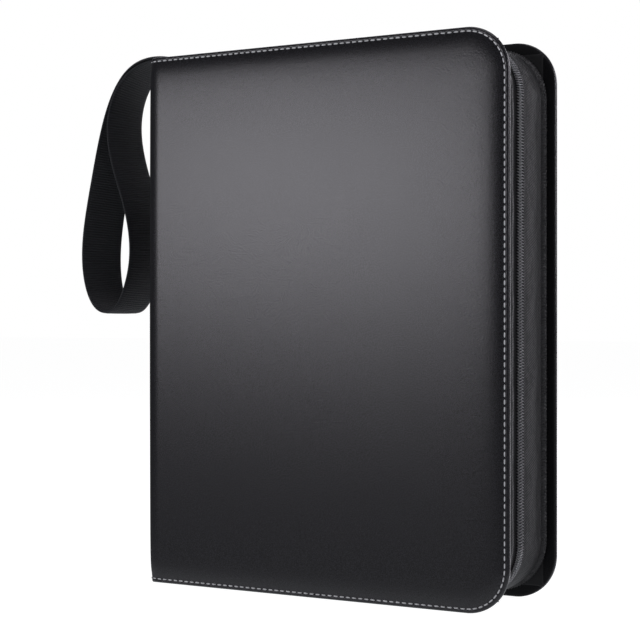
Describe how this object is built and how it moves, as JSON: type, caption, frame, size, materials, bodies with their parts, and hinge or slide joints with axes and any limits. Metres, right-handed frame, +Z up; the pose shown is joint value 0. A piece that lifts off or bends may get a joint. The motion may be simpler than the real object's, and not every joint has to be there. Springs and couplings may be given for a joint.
{
  "type": "trading card binder",
  "caption": "Zip-round ring binder with padded imitation-leather covers, a webbing wrist strap and pocket pages for cards.",
  "frame": {"origin": "the middle of the spine's foot, halfway through its thickness, where the closed binder stands", "axes": "+Z up along the spine, +X from the spine to the fore-edge, +Y from the front cover to the back cover"},
  "size_m": [0.3339, 0.075, 0.354],
  "materials": {
    "leather": "pebbled black imitation leather with a satin sheen",
    "foam": "thin grey foam padding",
    "board": "grey board",
    "lining": "smooth black woven lining",
    "tape": "woven black zip tape",
    "coil": "black nylon coil",
    "zip_metal": "black painted zinc",
    "steel": "nickel-plated sheet steel",
    "ring": "bright nickel-plated wire",
    "pad": "black moulded plastic",
    "page": "clear polypropylene pockets on a white sheet",
    "webbing": "ribbed black webbing"
  },
  "bodies": {
    "spine": {"spine_skin": "leather", "spine_board": "board", "spine_lining": "lining", "zip_end_top": "leather", "zip_end_bottom": "leather", "ring_housing": "steel", "ring_rivets": "steel", "lever_pins": "steel", "strap_root": "webbing"},
    "front_cover": {"front_cover_skin": "leather", "front_cover_foam": "foam", "front_cover_board": "board", "front_cover_lining": "lining", "front_gusset": "leather", "front_zip_tape": "tape", "front_zip_coil": "coil", "front_zip_stop": "zip_metal"},
    "back_cover": {"back_cover_skin": "leather", "back_cover_foam": "foam", "back_cover_board": "board", "back_cover_lining": "lining", "back_gusset": "leather", "back_zip_tape": "tape", "back_zip_coil": "coil", "back_zip_stops": "zip_metal"},
    "front_rings": {"front_ring_blade": "steel", "front_half_ring_1": "ring", "front_half_ring_2": "ring", "front_half_ring_3": "ring"},
    "back_rings": {"back_ring_blade": "steel", "back_half_ring_1": "ring", "back_half_ring_2": "ring", "back_half_ring_3": "ring"},
    "top_lever": {"top_lever_arm": "steel", "top_lever_pad": "pad"},
    "bottom_lever": {"bottom_lever_arm": "steel", "bottom_lever_pad": "pad"},
    "zip_slider": {"zip_slider": "zip_metal"},
    "zip_pull": {"zip_pull": "zip_metal"},
    "wrist_strap": {"wrist_strap": "webbing"},
    "front_page_1": {"front_page_1": "page"},
    "front_page_2": {"front_page_2": "page"},
    "front_page_3": {"front_page_3": "page"},
    "front_page_4": {"front_page_4": "page"},
    "front_page_5": {"front_page_5": "page"},
    "front_page_6": {"front_page_6": "page"},
    "front_page_7": {"front_page_7": "page"},
    "front_page_8": {"front_page_8": "page"},
    "back_page_1": {"back_page_1": "page"},
    "back_page_2": {"back_page_2": "page"},
    "back_page_3": {"back_page_3": "page"},
    "back_page_4": {"back_page_4": "page"},
    "back_page_5": {"back_page_5": "page"},
    "back_page_6": {"back_page_6": "page"},
    "back_page_7": {"back_page_7": "page"},
    "back_page_8": {"back_page_8": "page"}
  },
  "joints": [
    {"name": "front_cover_hinge", "type": "hinge", "parent": "spine", "child": "front_cover", "pos_m": [-0.00225, -0.0375, 0.175], "axis": [0, 0, -1], "range_deg": [0, 90]},
    {"name": "back_cover_hinge", "type": "hinge", "parent": "spine", "child": "back_cover", "pos_m": [-0.00225, 0.0375, 0.175], "axis": [0, 0, 1], "range_deg": [0, 90]},
    {"name": "top_lever_turn", "type": "hinge", "parent": "spine", "child": "top_lever", "pos_m": [0.0044, 0, 0.3175], "axis": [0, -1, 0], "range_deg": [0, 20]},
    {"name": "bottom_lever_turn", "type": "hinge", "parent": "spine", "child": "bottom_lever", "pos_m": [0.0044, 0, 0.0325], "axis": [0, 1, 0], "range_deg": [0, 20]},
    {"name": "front_rings_open", "type": "hinge", "parent": "spine", "child": "front_rings", "pos_m": [0.0034, -0.0096, 0.175], "axis": [0, 0, -1], "range_deg": [0, 6]},
    {"name": "back_rings_open", "type": "hinge", "parent": "spine", "child": "back_rings", "pos_m": [0.0034, 0.0096, 0.175], "axis": [0, 0, 1], "range_deg": [0, 6]},
    {"name": "zip_slider_slide", "type": "slide", "parent": "back_cover", "child": "zip_slider", "axis": [1, 0, 0], "range_m": [0, 0.185]},
    {"name": "zip_pull_turn", "type": "hinge", "parent": "zip_slider", "child": "zip_pull", "pos_m": [0.026, -0.0073, 0.3484], "axis": [0, -1, 0], "range_deg": [0, 180]},
    {"name": "wrist_strap_swing", "type": "hinge", "parent": "spine", "child": "wrist_strap", "pos_m": [-0.0026, 0, 0.3541], "axis": [0, 1, 0], "range_deg": [0, 120]},
    {"name": "front_page_1_turn", "type": "hinge", "parent": "spine", "child": "front_page_1", "pos_m": [0.01675, 0, 0.175], "axis": [0, 0, -1], "range_deg": [0, 92.5]},
    {"name": "front_page_2_turn", "type": "hinge", "parent": "spine", "child": "front_page_2", "pos_m": [0.01675, 0, 0.175], "axis": [0, 0, -1], "range_deg": [0, 92.5]},
    {"name": "front_page_3_turn", "type": "hinge", "parent": "spine", "child": "front_page_3", "pos_m": [0.01675, 0, 0.175], "axis": [0, 0, -1], "range_deg": [0, 92.5]},
    {"name": "front_page_4_turn", "type": "hinge", "parent": "spine", "child": "front_page_4", "pos_m": [0.01675, 0, 0.175], "axis": [0, 0, -1], "range_deg": [0, 92.5]},
    {"name": "front_page_5_turn", "type": "hinge", "parent": "spine", "child": "front_page_5", "pos_m": [0.01675, 0, 0.175], "axis": [0, 0, -1], "range_deg": [0, 92.5]},
    {"name": "front_page_6_turn", "type": "hinge", "parent": "spine", "child": "front_page_6", "pos_m": [0.01675, 0, 0.175], "axis": [0, 0, -1], "range_deg": [0, 92.5]},
    {"name": "front_page_7_turn", "type": "hinge", "parent": "spine", "child": "front_page_7", "pos_m": [0.01675, 0, 0.175], "axis": [0, 0, -1], "range_deg": [0, 92.5]},
    {"name": "front_page_8_turn", "type": "hinge", "parent": "spine", "child": "front_page_8", "pos_m": [0.01675, 0, 0.175], "axis": [0, 0, -1], "range_deg": [0, 92.5]},
    {"name": "back_page_1_turn", "type": "hinge", "parent": "spine", "child": "back_page_1", "pos_m": [0.01675, 0, 0.175], "axis": [0, 0, 1], "range_deg": [0, 92.5]},
    {"name": "back_page_2_turn", "type": "hinge", "parent": "spine", "child": "back_page_2", "pos_m": [0.01675, 0, 0.175], "axis": [0, 0, 1], "range_deg": [0, 92.5]},
    {"name": "back_page_3_turn", "type": "hinge", "parent": "spine", "child": "back_page_3", "pos_m": [0.01675, 0, 0.175], "axis": [0, 0, 1], "range_deg": [0, 92.5]},
    {"name": "back_page_4_turn", "type": "hinge", "parent": "spine", "child": "back_page_4", "pos_m": [0.01675, 0, 0.175], "axis": [0, 0, 1], "range_deg": [0, 92.5]},
    {"name": "back_page_5_turn", "type": "hinge", "parent": "spine", "child": "back_page_5", "pos_m": [0.01675, 0, 0.175], "axis": [0, 0, 1], "range_deg": [0, 92.5]},
    {"name": "back_page_6_turn", "type": "hinge", "parent": "spine", "child": "back_page_6", "pos_m": [0.01675, 0, 0.175], "axis": [0, 0, 1], "range_deg": [0, 92.5]},
    {"name": "back_page_7_turn", "type": "hinge", "parent": "spine", "child": "back_page_7", "pos_m": [0.01675, 0, 0.175], "axis": [0, 0, 1], "range_deg": [0, 92.5]},
    {"name": "back_page_8_turn", "type": "hinge", "parent": "spine", "child": "back_page_8", "pos_m": [0.01675, 0, 0.175], "axis": [0, 0, 1], "range_deg": [0, 92.5]}
  ],
  "couplings": [
    {"joint": "bottom_lever_turn", "follows": "top_lever_turn", "ratio": 1},
    {"joint": "front_rings_open", "follows": "top_lever_turn", "ratio": 0.3},
    {"joint": "back_rings_open", "follows": "top_lever_turn", "ratio": 0.3},
    {"joint": "front_page_1_turn", "follows": "front_cover_hinge", "ratio": 0.9675},
    {"joint": "front_page_2_turn", "follows": "front_cover_hinge", "ratio": 0.975},
    {"joint": "front_page_3_turn", "follows": "front_cover_hinge", "ratio": 0.9825},
    {"joint": "front_page_4_turn", "follows": "front_cover_hinge", "ratio": 0.99},
    {"joint": "front_page_5_turn", "follows": "front_cover_hinge", "ratio": 0.9975},
    {"joint": "front_page_6_turn", "follows": "front_cover_hinge", "ratio": 1.005},
    {"joint": "front_page_7_turn", "follows": "front_cover_hinge", "ratio": 1.0125},
    {"joint": "front_page_8_turn", "follows": "front_cover_hinge", "ratio": 1.02},
    {"joint": "back_page_1_turn", "follows": "back_cover_hinge", "ratio": 0.9675},
    {"joint": "back_page_2_turn", "follows": "back_cover_hinge", "ratio": 0.975},
    {"joint": "back_page_3_turn", "follows": "back_cover_hinge", "ratio": 0.9825},
    {"joint": "back_page_4_turn", "follows": "back_cover_hinge", "ratio": 0.99},
    {"joint": "back_page_5_turn", "follows": "back_cover_hinge", "ratio": 0.9975},
    {"joint": "back_page_6_turn", "follows": "back_cover_hinge", "ratio": 1.005},
    {"joint": "back_page_7_turn", "follows": "back_cover_hinge", "ratio": 1.0125},
    {"joint": "back_page_8_turn", "follows": "back_cover_hinge", "ratio": 1.02}
  ]
}
